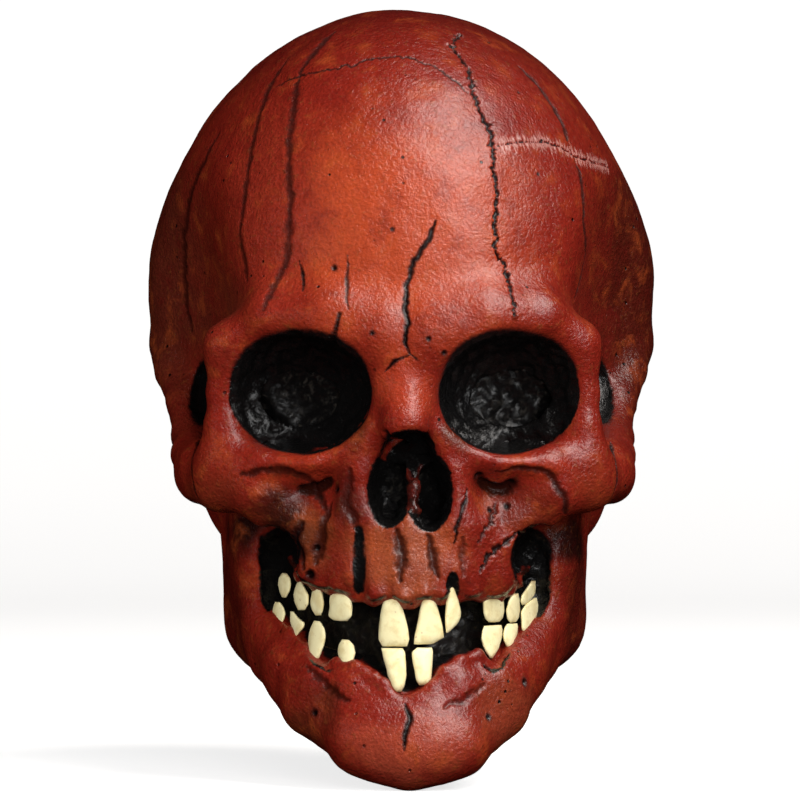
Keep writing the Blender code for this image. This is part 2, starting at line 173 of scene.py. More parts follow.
def roundDistance(points, centre, radii, turn=0):
    # how far each point is outside an ellipsoid, near enough close to it
    offset = points - np.array(centre, float)
    if turn:
        c, s = math.cos(math.radians(turn)), math.sin(math.radians(turn))
        offset = offset @ np.array([[c, -s, 0], [s, c, 0], [0, 0, 1]])
    radii = np.array(radii, float)
    scaled = lengthOf(offset / radii)
    return scaled * (scaled - 1) / (lengthOf(offset / radii**2) + 1e-9)


def barDistance(points, bar):
    # how far each point is outside a chain of tapered capsules
    nearest = None
    for start, end in zip(bar, bar[1:]):
        a, b = np.array(start[:3], float), np.array(end[:3], float)
        along = np.clip((points - a) @ (b - a) / ((b - a) @ (b - a)), 0, 1)
        reach = lengthOf(points - a - along[:, None] * (b - a))
        reach -= start[3] + (end[3] - start[3]) * along
        nearest = reach if nearest is None else softUnion(nearest, reach, 3)
    return nearest


def addBar(distance, points, bar, blend):
    # a bar changes nothing farther off than it blends, so only the points near its box are worked out
    spots = np.array(bar, float)
    low = (spots[:, :3] - spots[:, 3:]).min(axis=0)
    high = (spots[:, :3] + spots[:, 3:]).max(axis=0)
    gap = lengthOf(np.maximum(np.maximum(low - points, points - high), 0))
    near = gap < np.maximum(distance, 0) + blend + 1
    if near.any():
        distance[near] = softUnion(distance[near], barDistance(points[near], bar), blend)


def channelDistance(points):
    x, y, z = points.T
    top = np.interp(x, *zip(*upperGumLine))
    bottom = np.interp(x, *zip(*lowerGumLine))
    band = softCommon(z - top, bottom - z, 3)
    depth = mouth["back"] + mouth["arch"] * x * x - y
    return softCommon(softCommon(band, -depth, 3), np.abs(x) - mouth["halfWidth"], 3)


def archBar(line, roll):
    # a rolled edge that follows a gum line round the dental arch
    front, radius = roll
    return [(x, front + mouth["arch"] * x * x, z, radius) for x, z in line]


def rootBar(x, top, bottom, radius):
    arch = mouth["arch"] * x * x
    return [(x, -105.5 + arch + radius * 0.6, top, radius * 0.6), (x, -111 + arch + radius, bottom, radius)]


def mirrorOf(points):
    return np.column_stack([np.abs(points[:, 0]), points[:, 1:]])


def addMasses(distance, points, mirrored, masses):
    for centre, radii, turn, blend in masses:
        side = mirrored if centre[0] > 0 else points
        distance = softUnion(distance, roundDistance(side, centre, radii, turn), blend)
    return distance


def leaned(points):
    # to someone who faces the mask, the crown leans a little left and the chin right, and the top draws in
    leaning = points.copy()
    z = points[:, 2]
    leaning[:, 0] += 1.4 * smoothStep(z, -40, 0) * smoothStep(np.abs(points[:, 0]), 60, 85)
    leaning[:, 0] += 1.6 * smoothStep(z, 50, 140) - 2.2 * smoothStep(-z, 120, 145)
    leaning[:, 0] *= 1 + 0.028 * smoothStep(z, 45, 100)
    leaning[:, 2] += 2.4 * smoothStep(z, 20, 100)
    return leaning


def skullForm(points):
    # how far each point is outside the skull, below zero inside it
    points = leaned(points)
    mirrored = mirrorOf(points)
    distance = addMasses(np.full(len(points), 1e3), points, mirrored, boneMasses.values())
    distance = softCommon(distance, -roundDistance(mirrored, *templeHollow[:3]), templeHollow[3])
    for bar, blend in boneBars.values():
        addBar(distance, mirrored if max(spot[0] for spot in bar) > 0 else points, bar, blend)
    for root in toothRoots:
        addBar(distance, points, rootBar(*root), 3)
    for centre, radii, turn, lip, both, paint in boneHollows.values():
        side = mirrored if both else points
        distance = softCommon(distance, -roundDistance(side, centre, radii, turn), lip)
    distance = softCommon(distance, -channelDistance(points), mouth["lip"])
    for line, roll in ((upperGumLine[2:-2], "upperRoll"), (lowerGumLine[1:-1], "lowerRoll")):
        addBar(distance, points, archBar(line, mouth[roll]), 2)
    for bar in septumBars:
        addBar(distance, points, bar, 1.5)
    return distance


# The inside of the casting follows only the plain head.
headMasses = ("cranium", "forehead", "backOfHead", "middleOfFace", "upperJaw", "chin", "jawBranch")
headBars = ("neck", "throat", "lowerJaw")


def liningForm(depth):
    def form(points):
        leaning = leaned(points)
        mirrored = mirrorOf(leaning)
        masses = [boneMasses[name] for name in headMasses]
        distance = addMasses(np.full(len(points), 1e3), leaning, mirrored, masses)
        for name in headBars:
            addBar(distance, mirrored, *boneBars[name])
        return softCommon(skullForm(points), distance, 2) + depth
    return form


def slopeOf(form, points, step=0.25):
    # four samples at the corners of a small tetrahedron give the value and the slope
    corners = np.array([(1, -1, -1), (-1, -1, 1), (-1, 1, -1), (1, 1, 1)], float)
    values = [form(points + corner * step) for corner in corners]
    slope = sum(corner * value[:, None] for corner, value in zip(corners, values)) / (4 * step)
    return sum(values) / 4, slope


def pressOnto(form, points, rounds=3, most=2.0):
    for _ in range(rounds):
        value, slope = slopeOf(form, points)
        points = points - np.clip(value / ((slope**2).sum(axis=1) + 1e-9), -most, most)[:, None] * slope
    return points


def unit(vectors):
    return vectors / (lengthOf(vectors)[:, None] + 1e-9)


def smoothStep(value, low, high):
    t = np.clip((value - low) / (high - low), 0, 1)
    return t * t * (3 - 2 * t)


def lumpsAt(points, size, seed=0.0, octaves=1):
    # soft lumps of about this size in millimetres, one number a point from about -1 to 1
    places = (points / size + seed).tolist()
    if octaves == 1:
        return np.array([noise.noise(place) for place in places])
    return np.array([noise.fractal(place, 0.8, 2.0, octaves) for place in places])


# Between meshes and arrays.

def pointsOf(data):
    flat = np.empty(len(data.vertices) * 3)
    data.vertices.foreach_get("co", flat)
    return flat.reshape(-1, 3)


def movePoints(data, points):
    data.vertices.foreach_set("co", points.ravel())
    data.update()


def meshNormalsOf(data):
    flat = np.empty(len(data.vertices) * 3)
    data.vertex_normals.foreach_get("vector", flat)
    return flat.reshape(-1, 3)


def edgesOf(data):
    flat = np.empty(len(data.edges) * 2, np.int64)
    data.edges.foreach_get("vertices", flat)
    return flat.reshape(-1, 2)


def meshFrom(builder, name):
    data = bpy.data.meshes.new(name)
    builder.to_mesh(data)
    builder.free()
    return data


def addObject(name, data):
    item = bpy.data.objects.new(name, data)
    bpy.context.scene.collection.objects.link(item)
    return item


def appliedMesh(item):
    # the mesh that the object's modifiers give, after which the object isn't needed
    graph = bpy.context.evaluated_depsgraph_get()
    data = bpy.data.meshes.new_from_object(item.evaluated_get(graph))
    bpy.data.objects.remove(item, do_unlink=True)
    return data


def evenOut(form, points, edges, rounds, free=None):
    # slides the points along the form, so that the triangles come out alike
    count = np.bincount(edges.ravel(), minlength=len(points)) + 1e-9
    for _ in range(rounds):
        total = np.column_stack([
            np.bincount(edges[:, 0], points[edges[:, 1], axis], len(points))
            + np.bincount(edges[:, 1], points[edges[:, 0], axis], len(points))
            for axis in range(3)
        ])
        move = (total / count[:, None] - points) * 0.5
        value, slope = slopeOf(form, points)
        normal = unit(slope)
        moved = points + move - (move * normal).sum(axis=1)[:, None] * normal
        moved = pressOnto(form, moved, 1)
        points = moved if free is None else np.where(free[:, None], moved, points)
    return points


# Lines drawn on the bone.

# Points as (x, y, z), half width, depth, raised shoulder, how dark its ink is, wobble, and its side ticks
# as (spacing, length, ink). Negative ink is a pale scratch.
drawnLines = {
    "veinA": ([(-28, -40, 142), (-41, -58, 125), (-44, -74, 107), (-45, -85, 86), (-44, -91, 71),
               (-45, -93, 52),
               (-49, -94, 43), (-54, -101, 31)], 1.7, 0.25, 0.15, 0.56, 0.5, None),
    "veinB": ([(-47, -40, 132), (-55, -52, 117), (-60, -64, 100), (-62, -70, 87), (-63, -75, 71),
               (-64, -75, 61),
               (-62, -79, 50), (-61, -81, 42)], 1.5, 0.25, 0.15, 0.54, 0.5, None),
    "veinC": ([(-74, -37, 102), (-80, -36, 90), (-84, -26, 78), (-86, -15, 62), (-87, -9, 46), (-85, -7, 32),
               (-84, -9, 24)], 1.8, 0.3, 0.1, 0.55, 0.7, None),
    "mainSeam": ([(22, -47, 142), (19, -60, 135), (26, -69, 126), (27, -77, 118), (30, -82, 109),
                  (33, -85, 101),
                  (35, -88, 94), (34, -92, 86), (36, -94, 76), (35, -96, 68), (34, -98, 57), (37, -98, 49),
                  (39, -99, 44), (41, -104, 36), (41, -107, 29)], 1.5, 1.3, 1.3, 1.0, 1.3, (1.7, 3.0, 0.62)),
    "crossCrack": ([(37, -87, 95), (44, -81, 97), (57, -69, 98), (63, -62, 96), (69, -57, 93), (77, -41, 91),
                    (84, -24, 90)], 0.8, 0.7, 0.2, 0.9, 0.4, (1.2, 8.0, -0.9)),
    "veinR": ([(46, -45, 130), (54, -46, 122), (61, -49, 113), (66, -56, 99), (70, -58, 88), (71, -61, 77),
               (70, -63, 66), (71, -53, 53), (69, -56, 46), (66, -66, 35)], 1.4, 0.4, 0.1, 0.62, 0.5, None),
    "crownSeam": ([(-51, -54, 120), (-41, -60, 124), (-32, -67, 125), (-21, -70, 127), (-13, -69, 130),
                   (-3, -70, 131), (6, -72, 129), (14, -74, 126), (20, -77, 120), (25, -79, 116)],
                  0.6, 0.4, 0.1, 0.7, 1.2, (1.9, 2.8, 0.5)),
    "browCrack": ([(-41, -96, 50), (-39, -99, 44), (-39, -104, 38)], 0.6, 0.5, 0, 0.9, 0.3, None),
    "browLine": ([(-22, -103, 52), (-22, -106, 42), (-22, -112, 31)], 0.6, 0.4, 0, 0.7, 0.4, None),
    "glabellaCrack": ([(12, -104, 65), (7, -106, 54), (3, -106, 49), (0, -109, 36), (1, -113, 25),
                       (0, -113, 19),
                       (2, -113, 14)], 0.8, 0.9, 0.1, 1.0, 0.8, None),
    "glabellaLeft": ([(2, -113, 14), (-4, -113, 11), (-8, -111, 7)], 0.6, 0.7, 0, 0.95, 0.3, None),
    "glabellaRight": ([(2, -113, 14), (6, -112, 11)], 0.5, 0.5, 0, 0.9, 0.3, None),
    "cheekCreaseLeft": ([(-80, -63, -19), (-79, -78, -30), (-78, -78, -42)], 0.9, 1.0, 0.1, 0.9, 0.3, None),
    "cheekCreaseRight": ([(80, -63, -19), (80, -78, -28), (79, -78, -40)], 0.8, 0.9, 0.1, 0.9, 0.3, None),
    "underEyeLeft": ([(-63, -94, -32), (-55, -98, -31), (-44, -99, -31), (-36, -97, -33), (-33, -93, -40),
                      (-27, -94, -48)], 1.9, 0.7, 0, 0.62, 0.5, None),
    "underEyeRight": ([(35, -100, -30), (44, -100, -30), (55, -98, -32), (61, -95, -40), (64, -90, -51)],
                      1.5, 0.8, 0.1, 0.62, 0.5, None),
    "chinCrack": ([(0, -110, -119), (2, -113, -124), (0, -115, -130),
                   (0, -116, -136)], 0.9, 1.1, 0.1, 1.0, 0.4, None),
    "browNotch": ([(-23, -104, 20), (-24, -107, 28)], 1.8, 1.3, 0, 0.95, 0.2, None),
    "noseSideLeft": ([(-20, -103, -30), (-22, -103, -42), (-20, -104, -52)], 2.6, 1.1, 0, 0.5, 0.6, None),
    "canineLeft": ([(-27, -97, -44), (-30, -96, -56), (-33, -93, -66)], 2.6, 1.5, 0, 0.58, 0.9, None),
    "cheekCleftLeft": ([(-40, -90, -50), (-37, -92, -60), (-35, -90, -68)], 1.8, 1.4, 0.3, 0.8, 0.8, None),
    "rootGrooveA": ([(-4, -109, -53), (-1, -109, -62), (-2, -109, -72)], 2.5, 1.9, 0.1, 0.62, 0.7, None),
    "rootGrooveB": ([(9, -108, -55), (11, -108, -64), (12.4, -107, -71)], 2.2, 1.6, 0.1, 0.6, 0.7, None),
    "nasalCrackRight": ([(24, -104, -37), (23, -105, -43), (19.6, -106, -51),
                         (19, -106, -58)], 0.7, 0.9, 0.2, 0.9, 0.7, None),
    "rootGrooveC": ([(22, -105, -56), (22, -104, -70)], 2.2, 1.0, 0, 0.42, 0.6, None),
    "cheekSlitRight": ([(42, -90, -52), (38, -93, -57), (32, -96, -62),
                        (27, -97, -69)], 1.5, 1.5, 0.5, 0.78, 1.4, (3.0, 2.6, 0.6)),
    "cheekSlitInner": ([(35, -98, -42), (33, -98, -50),
                        (27, -100, -57)], 1.5, 1.1, 0.4, 0.6, 1.4, (3.4, 2.4, 0.6)),
    "chinFoldLeft": ([(-38, -92, -104), (-30, -98, -112), (-20, -103, -118)], 2.2, 0.9, 0, 0.5, 1.0, None),
    "chinFoldRight": ([(30, -98, -112), (22, -102, -117), (14, -106, -122)], 2.0, 0.8, 0, 0.42, 1.0, None),
}

# Small holes: x, y, z, radius, depth.
smallHoles = [
    (-27, -103, 47, 1.0, 1.2), (-36, -98, -123, 1.3, 1.2), (46, -85, -112, 1.4, 1.6),
    (34, -101, -124, 1.2, 1.0),
    (28.5, -99, -33, 1.6, 2.2), (40, -95, -37, 2.6, 2.6), (33, -97, -45, 1.2, 1.4), (39, -94, -44, 1.2, 1.4),
    (-33, -96, -60, 1.8, 2.2), (-36, -94, -70, 2.0, 2.4), (-31, -102, -38, 1.3, 1.2), (9, -113, 20, 0.8, 0.8),
    (14, -110, 16, 0.9, 0.8), (-12, -111, 22, 0.8, 0.8), (-5, -108, 62, 0.7, 0.6), (52, -80, 84, 0.6, 0.6),
]


def curveThrough(spots, step):
    # an even row of points on a smooth curve through the spots
    spots = np.array(spots, float)
    reach = np.concatenate([[0], np.cumsum(np.linalg.norm(np.diff(spots, axis=0), axis=1))])
    at = np.linspace(0, reach[-1], max(int(reach[-1] / step), 2) + 1)
    line = np.column_stack([np.interp(at, reach, spots[:, axis]) for axis in range(3)])
    for _ in range(int(3 / step)):
        line[1:-1] = (line[:-2] + 2 * line[1:-1] + line[2:]) / 4
    return line


def layLine(name, line, halfWidth, depth, shoulder, ink, wobble, ticks):
    # gives rows of x, y, z, half width, depth, shoulder, ink
    step, seed = 0.45, len(name) * 3.7 + line[0][0]
    path = curveThrough(line, step)
    path = pressOnto(skullForm, path, 4, 8)
    value, slope = slopeOf(skullForm, path)
    ahead = unit(np.gradient(path, axis=0))
    aside = np.cross(unit(slope), ahead)
    run = np.arange(len(path)) * step
    sway = np.array([noise.noise((s / 5.0, seed, 0)) + 0.9 * noise.noise((s / 1.7, seed, 5)) for s in run])
    path = path + aside * (sway * wobble)[:, None]
    taper = 0.45 + 0.55 * smoothStep(np.minimum(run, run[-1] - run), 0, 6)
    vary = np.array([1 + 0.45 * noise.noise((s / 3.0, seed, 9)) for s in run])
    even = np.ones(len(path))
    rows = [np.column_stack([path, halfWidth * taper * vary, depth * even, shoulder * even,
                             ink * (0.75 + 0.25 * taper)])]
    if ticks:
        spacing, length, tickInk = ticks
        for s in np.arange(spacing, run[-1], spacing):
            pick = min(int((s + 0.6 * noise.noise((s, seed, 3))) / step), len(path) - 1)
            for way in (-1, 1):
                size = length * (0.55 + 0.8 * noise.noise((s * 1.3, seed, way * 7.0)))
                if size < 0.8:
                    continue
                out = np.arange(0.4, size, 0.4)[:, None]
                lean = ahead[pick] * 0.25 * noise.noise((s, seed, way * 2.0))
                tick = path[pick] + out * (aside[pick] * way + lean)
                fade = 1 - out[:, 0] / size * 0.6
                rows.append(np.column_stack([tick, 0.42 * fade, 0.4 * fade, 0.25 * fade, tickInk * fade]))
    return np.vstack(rows)


print("1. laying the seams and cracks on the bone")
lineRows = {name: layLine(name, *line) for name, line in drawnLines.items()}
holeRows = np.array([(x, y, z, r, d, 0.05, 1.0) for x, y, z, r, d in smallHoles])
holeRows[:, :3] = pressOnto(skullForm, holeRows[:, :3], 4, 8)
allRows = np.vstack(list(lineRows.values()) + [holeRows])
lineTree = KDTree(len(allRows))
for index, row in enumerate(allRows):
    lineTree.insert(row[:3], index)
lineTree.balance()


def nearestLine(points, reach):
    # for each point, the row of the nearest drawn line and how far off it is
    found, gap = np.zeros(len(points), int), np.full(len(points), 99.0)
    for index, place in enumerate(points.tolist()):
        hits = lineTree.find(place)
        if hits[2] < reach:
            found[index], gap[index] = hits[1], hits[2]
    return found, gap


# The latex skin.

neckFront = Vector((0, -75, -150))   # two points of the flat plane that the neck opening is cut on
neckBack = Vector((0, 100, -85))
skin = {
    "wall": 2.6,          # latex thickness
    "startLevel": 6,      # icosphere that is drawn onto the skull first
    "voxel": 3.2,         # even squares that everything is cut from
    "liningLevel": 5,
    "liningVoxel": 6.0,
    "liningLean": (0, -0.35, -0.12),
    "faceEdge": 1.58,      # triangle edge on the face
    "headEdge": 3.4,      # triangle edge on the crown, sides and back
    "lineEdge": 0.72,     # triangle edge along cracks and seams
    "spineMiddle": (0, -28, -14),
    "spineReach": 78,
    "openings": {
        "leftEye": ((-41, -70, -3), (16, 26, 11)),
        "rightEye": ((41, -70, -3), (16, 26, 11)),
        "nose": ((1, -80, -34), (10, 12, 13)),
        "mouth": ((0, -80, -94), (38, 40, 8)),
    },
}


def rayStarts(directions):
    # low for a ray that looks down at the jaw, high for one that looks up
    starts = np.tile(np.array(skin["spineMiddle"], float), (len(directions), 1))
    starts[:, 2] += skin["spineReach"] * directions[:, 2]
    return starts


def marchRays(form, directions, fromOutside):
    starts = rayStarts(directions)
    reach = np.full(len(directions), 200.0 if fromOutside else 1.0)
    moving = np.arange(len(directions))
    way = -1 if fromOutside else 1
    for _ in range(120):
        distance = -way * form(starts[moving] + directions[moving] * reach[moving, None])
        reach[moving] += way * np.clip(distance * 0.6, 0, 12)
        moving = moving[distance > 0.05]
        if not len(moving):
            break
    return starts + directions * reach[:, None]


def ballMesh(level):
    ball = bmesh.new()
    bmesh.ops.create_icosphere(ball, subdivisions=level, radius=1)
    return meshFrom(ball, "ball")


def remeshEven(data, voxel):
    item = addObject("roughSkull", data)
    even = item.modifiers.new("evenSquares", "REMESH")
    even.mode = "VOXEL"
    even.voxel_size = voxel
    builder = bmesh.new()
    builder.from_mesh(appliedMesh(item))
    bmesh.ops.triangulate(builder, faces=builder.faces[:])
    return meshFrom(builder, "evenSkull")


def neckBlock():
    size = 500
    block = bmesh.new()
    bmesh.ops.create_cube(block, size=size)
    bmesh.ops.translate(block, vec=(0, 0, -size / 2), verts=block.verts[:])
    slope = math.atan2(neckBack.z - neckFront.z, neckBack.y - neckFront.y)
    place = Matrix.Translation((neckFront + neckBack) / 2) @ Matrix.Rotation(slope, 4, "X")
    bmesh.ops.transform(block, matrix=place, verts=block.verts[:])
    return meshFrom(block, "neckBlock")


def openingBall(centre, radii):
    ball = bmesh.new()
    bmesh.ops.create_uvsphere(ball, u_segments=28, v_segments=18, radius=1)
    bmesh.ops.scale(ball, vec=radii, verts=ball.verts[:])
    bmesh.ops.translate(ball, vec=centre, verts=ball.verts[:])
    return meshFrom(ball, "opening")


def castSkin():
    # the whole casting at an even coarse size: outside, lining, neck opening and the holes behind the screens
    data = ballMesh(skin["startLevel"])
    movePoints(data, marchRays(skullForm, unit(pointsOf(data)), True))
    data = remeshEven(data, skin["voxel"])
    movePoints(data, evenOut(skullForm, pointsOf(data), edgesOf(data), 8))
    lining = ballMesh(skin["liningLevel"])
    lean = unit(unit(pointsOf(lining)) + np.array(skin["liningLean"]))
    movePoints(lining, marchRays(liningForm(skin["wall"]), lean, False))
    lining = remeshEven(lining, skin["liningVoxel"])
    movePoints(lining, evenOut(liningForm(skin["wall"]), pointsOf(lining), edgesOf(lining), 6))
    item = addObject("castSkin", data)
    cutters = [lining, neckBlock()] + [openingBall(*opening) for opening in skin["openings"].values()]
    helpers = [addObject("cutter", cutter) for cutter in cutters]
    for helper in helpers:
        away = item.modifiers.new("cut", "BOOLEAN")
        away.operation = "DIFFERENCE"
        away.solver = "EXACT"
        away.object = helper
    data = appliedMesh(item)
    for helper in helpers:
        bpy.data.objects.remove(helper, do_unlink=True)
    return data


def outerPoints(points):
    return np.abs(skullForm(points)) < 1.3


def wantedEdge(points, gap):
    # how long a triangle's edge may be here
    away = smoothStep(points[:, 1], -62, -22)
    wanted = skin["faceEdge"] + (skin["headEdge"] - skin["faceEdge"]) * away
    close = smoothStep(gap, 1.6, 4.5)
    return skin["lineEdge"] + (wanted - skin["lineEdge"]) * close


def refineOnce(data):
    points, edges = pointsOf(data), edgesOf(data)
    outer = outerPoints(points)
    found, gap = nearestLine(points, 6)
    wanted = wantedEdge(points, gap)
    length = lengthOf(points[edges[:, 0]] - points[edges[:, 1]])
    split = outer[edges].all(axis=1) & (length > 1.35 * np.minimum(wanted[edges[:, 0]], wanted[edges[:, 1]]))
    builder = bmesh.new()
    builder.from_mesh(data)
    builder.edges.ensure_lookup_table()
    chosen = [builder.edges[index] for index in np.flatnonzero(split)]
    bmesh.ops.subdivide_edges(builder, edges=chosen, cuts=1, use_grid_fill=True)
    bmesh.ops.triangulate(builder, faces=builder.faces[:], quad_method="SHORT_EDGE")
    data = meshFrom(builder, "finerSkin")
    points, edges = pointsOf(data), edgesOf(data)
    outer = outerPoints(points)
    held = ~outer
    mixed = outer[edges].sum(axis=1) == 1
    held[edges[mixed].ravel()] = True
    pressed = points.copy()
    free = np.flatnonzero(~held)
    pressed[free] = pressOnto(skullForm, points[free], 2)
    inside = np.full(len(points), -1)
    inside[free] = np.arange(len(free))
    near = edges[(~held[edges]).all(axis=1)]
    moved = evenOut(skullForm, pressed[free], inside[near], 2, borderFree(inside, edges, held, len(free)))
    pressed[free] = moved
    movePoints(data, pressed)
    return data, int(split.sum())


def borderFree(inside, edges, held, count):
    # a point beside a held one stays, because its neighbours aren't all counted
    free = np.ones(count, bool)
    mixed = held[edges].sum(axis=1) == 1
    beside = edges[mixed].ravel()
    beside = beside[~held[beside]]
    free[inside[beside]] = False
    return free


print("2. casting the latex skin")
skinData = castSkin()
print("   rough casting:", len(skinData.polygons), "faces")
for passNumber in range(4):
    skinData, splits = refineOnce(skinData)
    print("   pass", passNumber + 1, "split", splits, "edges, faces now", len(skinData.polygons))


# Modelling and painting the skin's surface.

surface = {
    "broadLumps": (22.0, 0.55),   # size and height of the hand-modelled unevenness
    "fineLumps": (6.0, 0.16),
    "blackLumps": (5.4, 1.1),    # ropy lumps on the black floors
    "wrinkles": (2.2, 0.28),
}

# Airbrushed patches and painted shade, laid one over the other: centre, radii, colour, strength, whether both
# sides have it.
airbrushAndShade = [
    ((0, 30, 150), (120, 120, 62), "4b0d0a", 0.75, False),        # crimson crown
    ((0, -90, 62), (62, 60, 62), "9c3b1e", 0.85, False),          # orange forehead
    ((-52, -80, 66), (30, 50, 60), "7a2316", 0.8, False),         # redder left of the forehead
    # The brown of the temples is darkened further as painted shade, on the sides that turn away from the
    # light.
    ((-98, -10, 40), (34, 90, 80), "4e1c12", 0.9, False),         # brown left temple
    ((96, -10, 40), (32, 90, 90), "380f08", 0.9, False),          # brown right temple
    ((-74, -60, 22), (20, 40, 34), "5a2618", 0.7, False),
    ((0, -105, 24), (70, 40, 13), "8a3018", 0.5, False),          # brow ridge
    ((0, -110, 4), (14, 30, 22), "92301a", 0.7, False),           # bridge of the nose
    ((22, -100, -14), (9, 30, 16), "47200f", 0.75, True),         # brown beside the bridge
    ((46, -98, -29), (26, 30, 7), "8a2814", 0.6, True),           # lower rim of the orbit
    ((72, -70, -38), (16, 40, 22), "7a2c16", 0.55, True),
    # painted shade: the left cheekbone darker than the right, away from the light
    ((-72, -70, -42), (16, 40, 20), "5c1c10", 0.6, False),
    ((44, -92, -46), (20, 30, 12), "581c0f", 0.7, True),          # cheek body under the orbit
    # painted shade on the left cheek under the orbit
    ((-48, -92, -46), (20, 30, 14), "260e08", 0.85, False),
    ((0, -105, -62), (30, 30, 22), "8a4626", 0.6, False),        # upper jaw, with ochre drybrushing
    ((-34, -96, -56), (12, 30, 16), "643216", 0.6, False),
    # The dark red of the jaw sides is deepened partly as painted shade.
    ((66, -30, -84), (16, 40, 46), "46120b", 0.8, True),          # sides of the jaw
    ((0, -110, -134), (34, 30, 16), "943e2a", 0.6, False),        # chin
    # painted shade on the left of the chin
    ((-34, -90, -126), (18, 30, 16), "4c1f11", 0.7, False),
    ((36, -90, -122), (20, 30, 18), "76341f", 0.6, False),
    # painted shade beside the left of the nose hole
    ((-22, -104, -42), (8, 30, 16), "2c120a", 0.7, False),        # brown beside the nose hole
    ((66, -48, -57), (13, 40, 12), "160a08", 0.92, True),         # shade under the cheekbone
    # painted shade low on the left cheek
    ((-46, -92, -54), (15, 30, 12), "240e08", 0.7, False),
    ((0, 110, -60), (110, 90, 50), "3c0e0a", 0.6, False),         # nape
]
skinBase = "6e1a10"


def linearOf(hexColour):
    channels = [int(hexColour[i:i + 2], 16) / 255 for i in (0, 2, 4)]
    return tuple(c / 12.92 if c <= 0.04045 else ((c + 0.055) / 1.055) ** 2.4 for c in channels)


def blackPaint(points, closed):
    # 1 on the painted-black floors and channels, 0 on the red
    mirrored = mirrorOf(points)
    black = np.zeros(len(points))
    for centre, radii, turn, lip, both, paint in boneHollows.values():
        if paint is None:
            continue
        away = roundDistance(mirrored if both else points, centre, radii, turn)
        # black is also laid wherever a point near a hollow is deeply closed in: painted shade in the deepest
        # recesses
        black = np.maximum(black, (1 - smoothStep(away, 4, 6.5)) * smoothStep(closed, 0.6, 0.78))
        black = np.maximum(black, 1 - smoothStep(away, *paint))
    # all that lies behind the orbit's rim, with the spray going softly over its upper edge
    (x, y, z), (wide, deep, high) = boneHollows["orbit"][:2]
    across = np.hypot((mirrored[:, 0] - x) / wide, (mirrored[:, 2] - z) / high)
    over = smoothStep(mirrored[:, 2], 0, 18)
    behind = 1 - smoothStep(across, 0.975, 1.02 + 0.15 * over)
    black = np.maximum(black, behind * smoothStep(-mirrored[:, 1], 40, 50))
    black = np.maximum(black, 1 - smoothStep(channelDistance(points), 0.0, 1.2))
    for centre, radii in skin["openings"].values():
        black = np.maximum(black, 1 - smoothStep(roundDistance(points, centre, radii), 0.4, 1.0))
    for line, roll in ((upperGumLine[2:-2], "upperRoll"), (lowerGumLine[1:-1], "lowerRoll")):
        black = black * smoothStep(barDistance(points, archBar(line, mouth[roll])), 0.5, 1.6)
    for bar in septumBars[:2]:
        black = black * (1 - 0.45 * (1 - smoothStep(barDistance(points, bar), 0.2, 1.4)))
    return black


def shelter(points, normals):
    # how closed in each point is: 0 in the open, towards 1 deep in a recess
    closed = np.zeros(len(points))
    for reach, share in ((1.6, 0.3), (4.0, 0.35), (10.0, 0.35)):
        closed += share * np.clip(1 - skullForm(points + normals * reach) / reach, 0, 1.2)
    return closed


def ropy(points, size, seed):
    # worm-like lumps: high along the noise's zero lines
    return 1 - 2.6 * np.abs(lumpsAt(points, size, seed))


def sculpt(points, normals, outer, found, gap, black):
    # how far each outer point stands out, in millimetres
    height = np.zeros(len(points))
    broad, broadHeight = surface["broadLumps"]
    fine, fineHeight = surface["fineLumps"]
    height += broadHeight * lumpsAt(points, broad, 3.1, 2) + fineHeight * lumpsAt(points, fine, 8.7, 2)
    lump, lumpHeight = surface["blackLumps"]
    wrinkle, wrinkleHeight = surface["wrinkles"]
    inBlack = smoothStep(black, 0.6, 1.0)
    bend = points + 1.6 * np.column_stack([lumpsAt(points, 7, seed) for seed in (1.3, 5.9, 9.2)])
    ropes = lumpHeight * (ropy(bend, lump, 2.2) - 0.4)
    height += inBlack * (ropes + wrinkleHeight * ropy(bend, wrinkle, 4.4))
    row = allRows[found]
    across = gap / np.maximum(row[:, 3], 0.15)
    groove = row[:, 4] * (1 - smoothStep(across, 0.1, 1.15))
    bank = row[:, 5] * np.exp(-(((across - 1.7) / 0.55) ** 2)) * (0.6 + 0.9 * lumpsAt(points, 1.5, 6.6))
    height += np.where(gap < 6, bank - groove, 0)
    return np.where(outer, height, 0)


def paintSkin(points, closed):
    # the airbrushed colour and painted shade before any wash, and how much dark wash, which is also painted
    # shade, lies in the recesses
    colour = np.tile(np.array(linearOf(skinBase)), (len(points), 1))
    mirrored = mirrorOf(points)
    drift = 7 * np.column_stack([lumpsAt(points, 18, seed, 2) for seed in (11.1, 17.3, 23.9)])
    for centre, radii, tint, strength, both in airbrushAndShade:
        side = (mirrored if both else points) + drift
        offset = lengthOf((side - np.array(centre, float)) / np.array(radii, float))
        share = strength * (1 - smoothStep(offset, 0.35, 1.0))
        colour += share[:, None] * (np.array(linearOf(tint)) - colour)
    patchy = 0.5 + 0.5 * lumpsAt(points, 9, 31.7, 3)
    # the wash is darker the more closed in a point is: part paint wash, part painted shade in the recesses
    washAndShade = smoothStep(closed, 0.36, 0.95) + 0.25 * smoothStep(patchy, 0.55, 0.95)
    return colour, np.clip(washAndShade, 0, 1)


def writeNumber(data, name, values):
    layer = data.attributes.new(name, "FLOAT", "POINT")
    layer.data.foreach_set("value", np.asarray(values, np.float32))


def writeColour(data, name, values):
    layer = data.attributes.new(name, "FLOAT_COLOR", "POINT")
    opaque = np.column_stack([values, np.ones(len(values))]).astype(np.float32)
    layer.data.foreach_set("color", opaque.ravel())


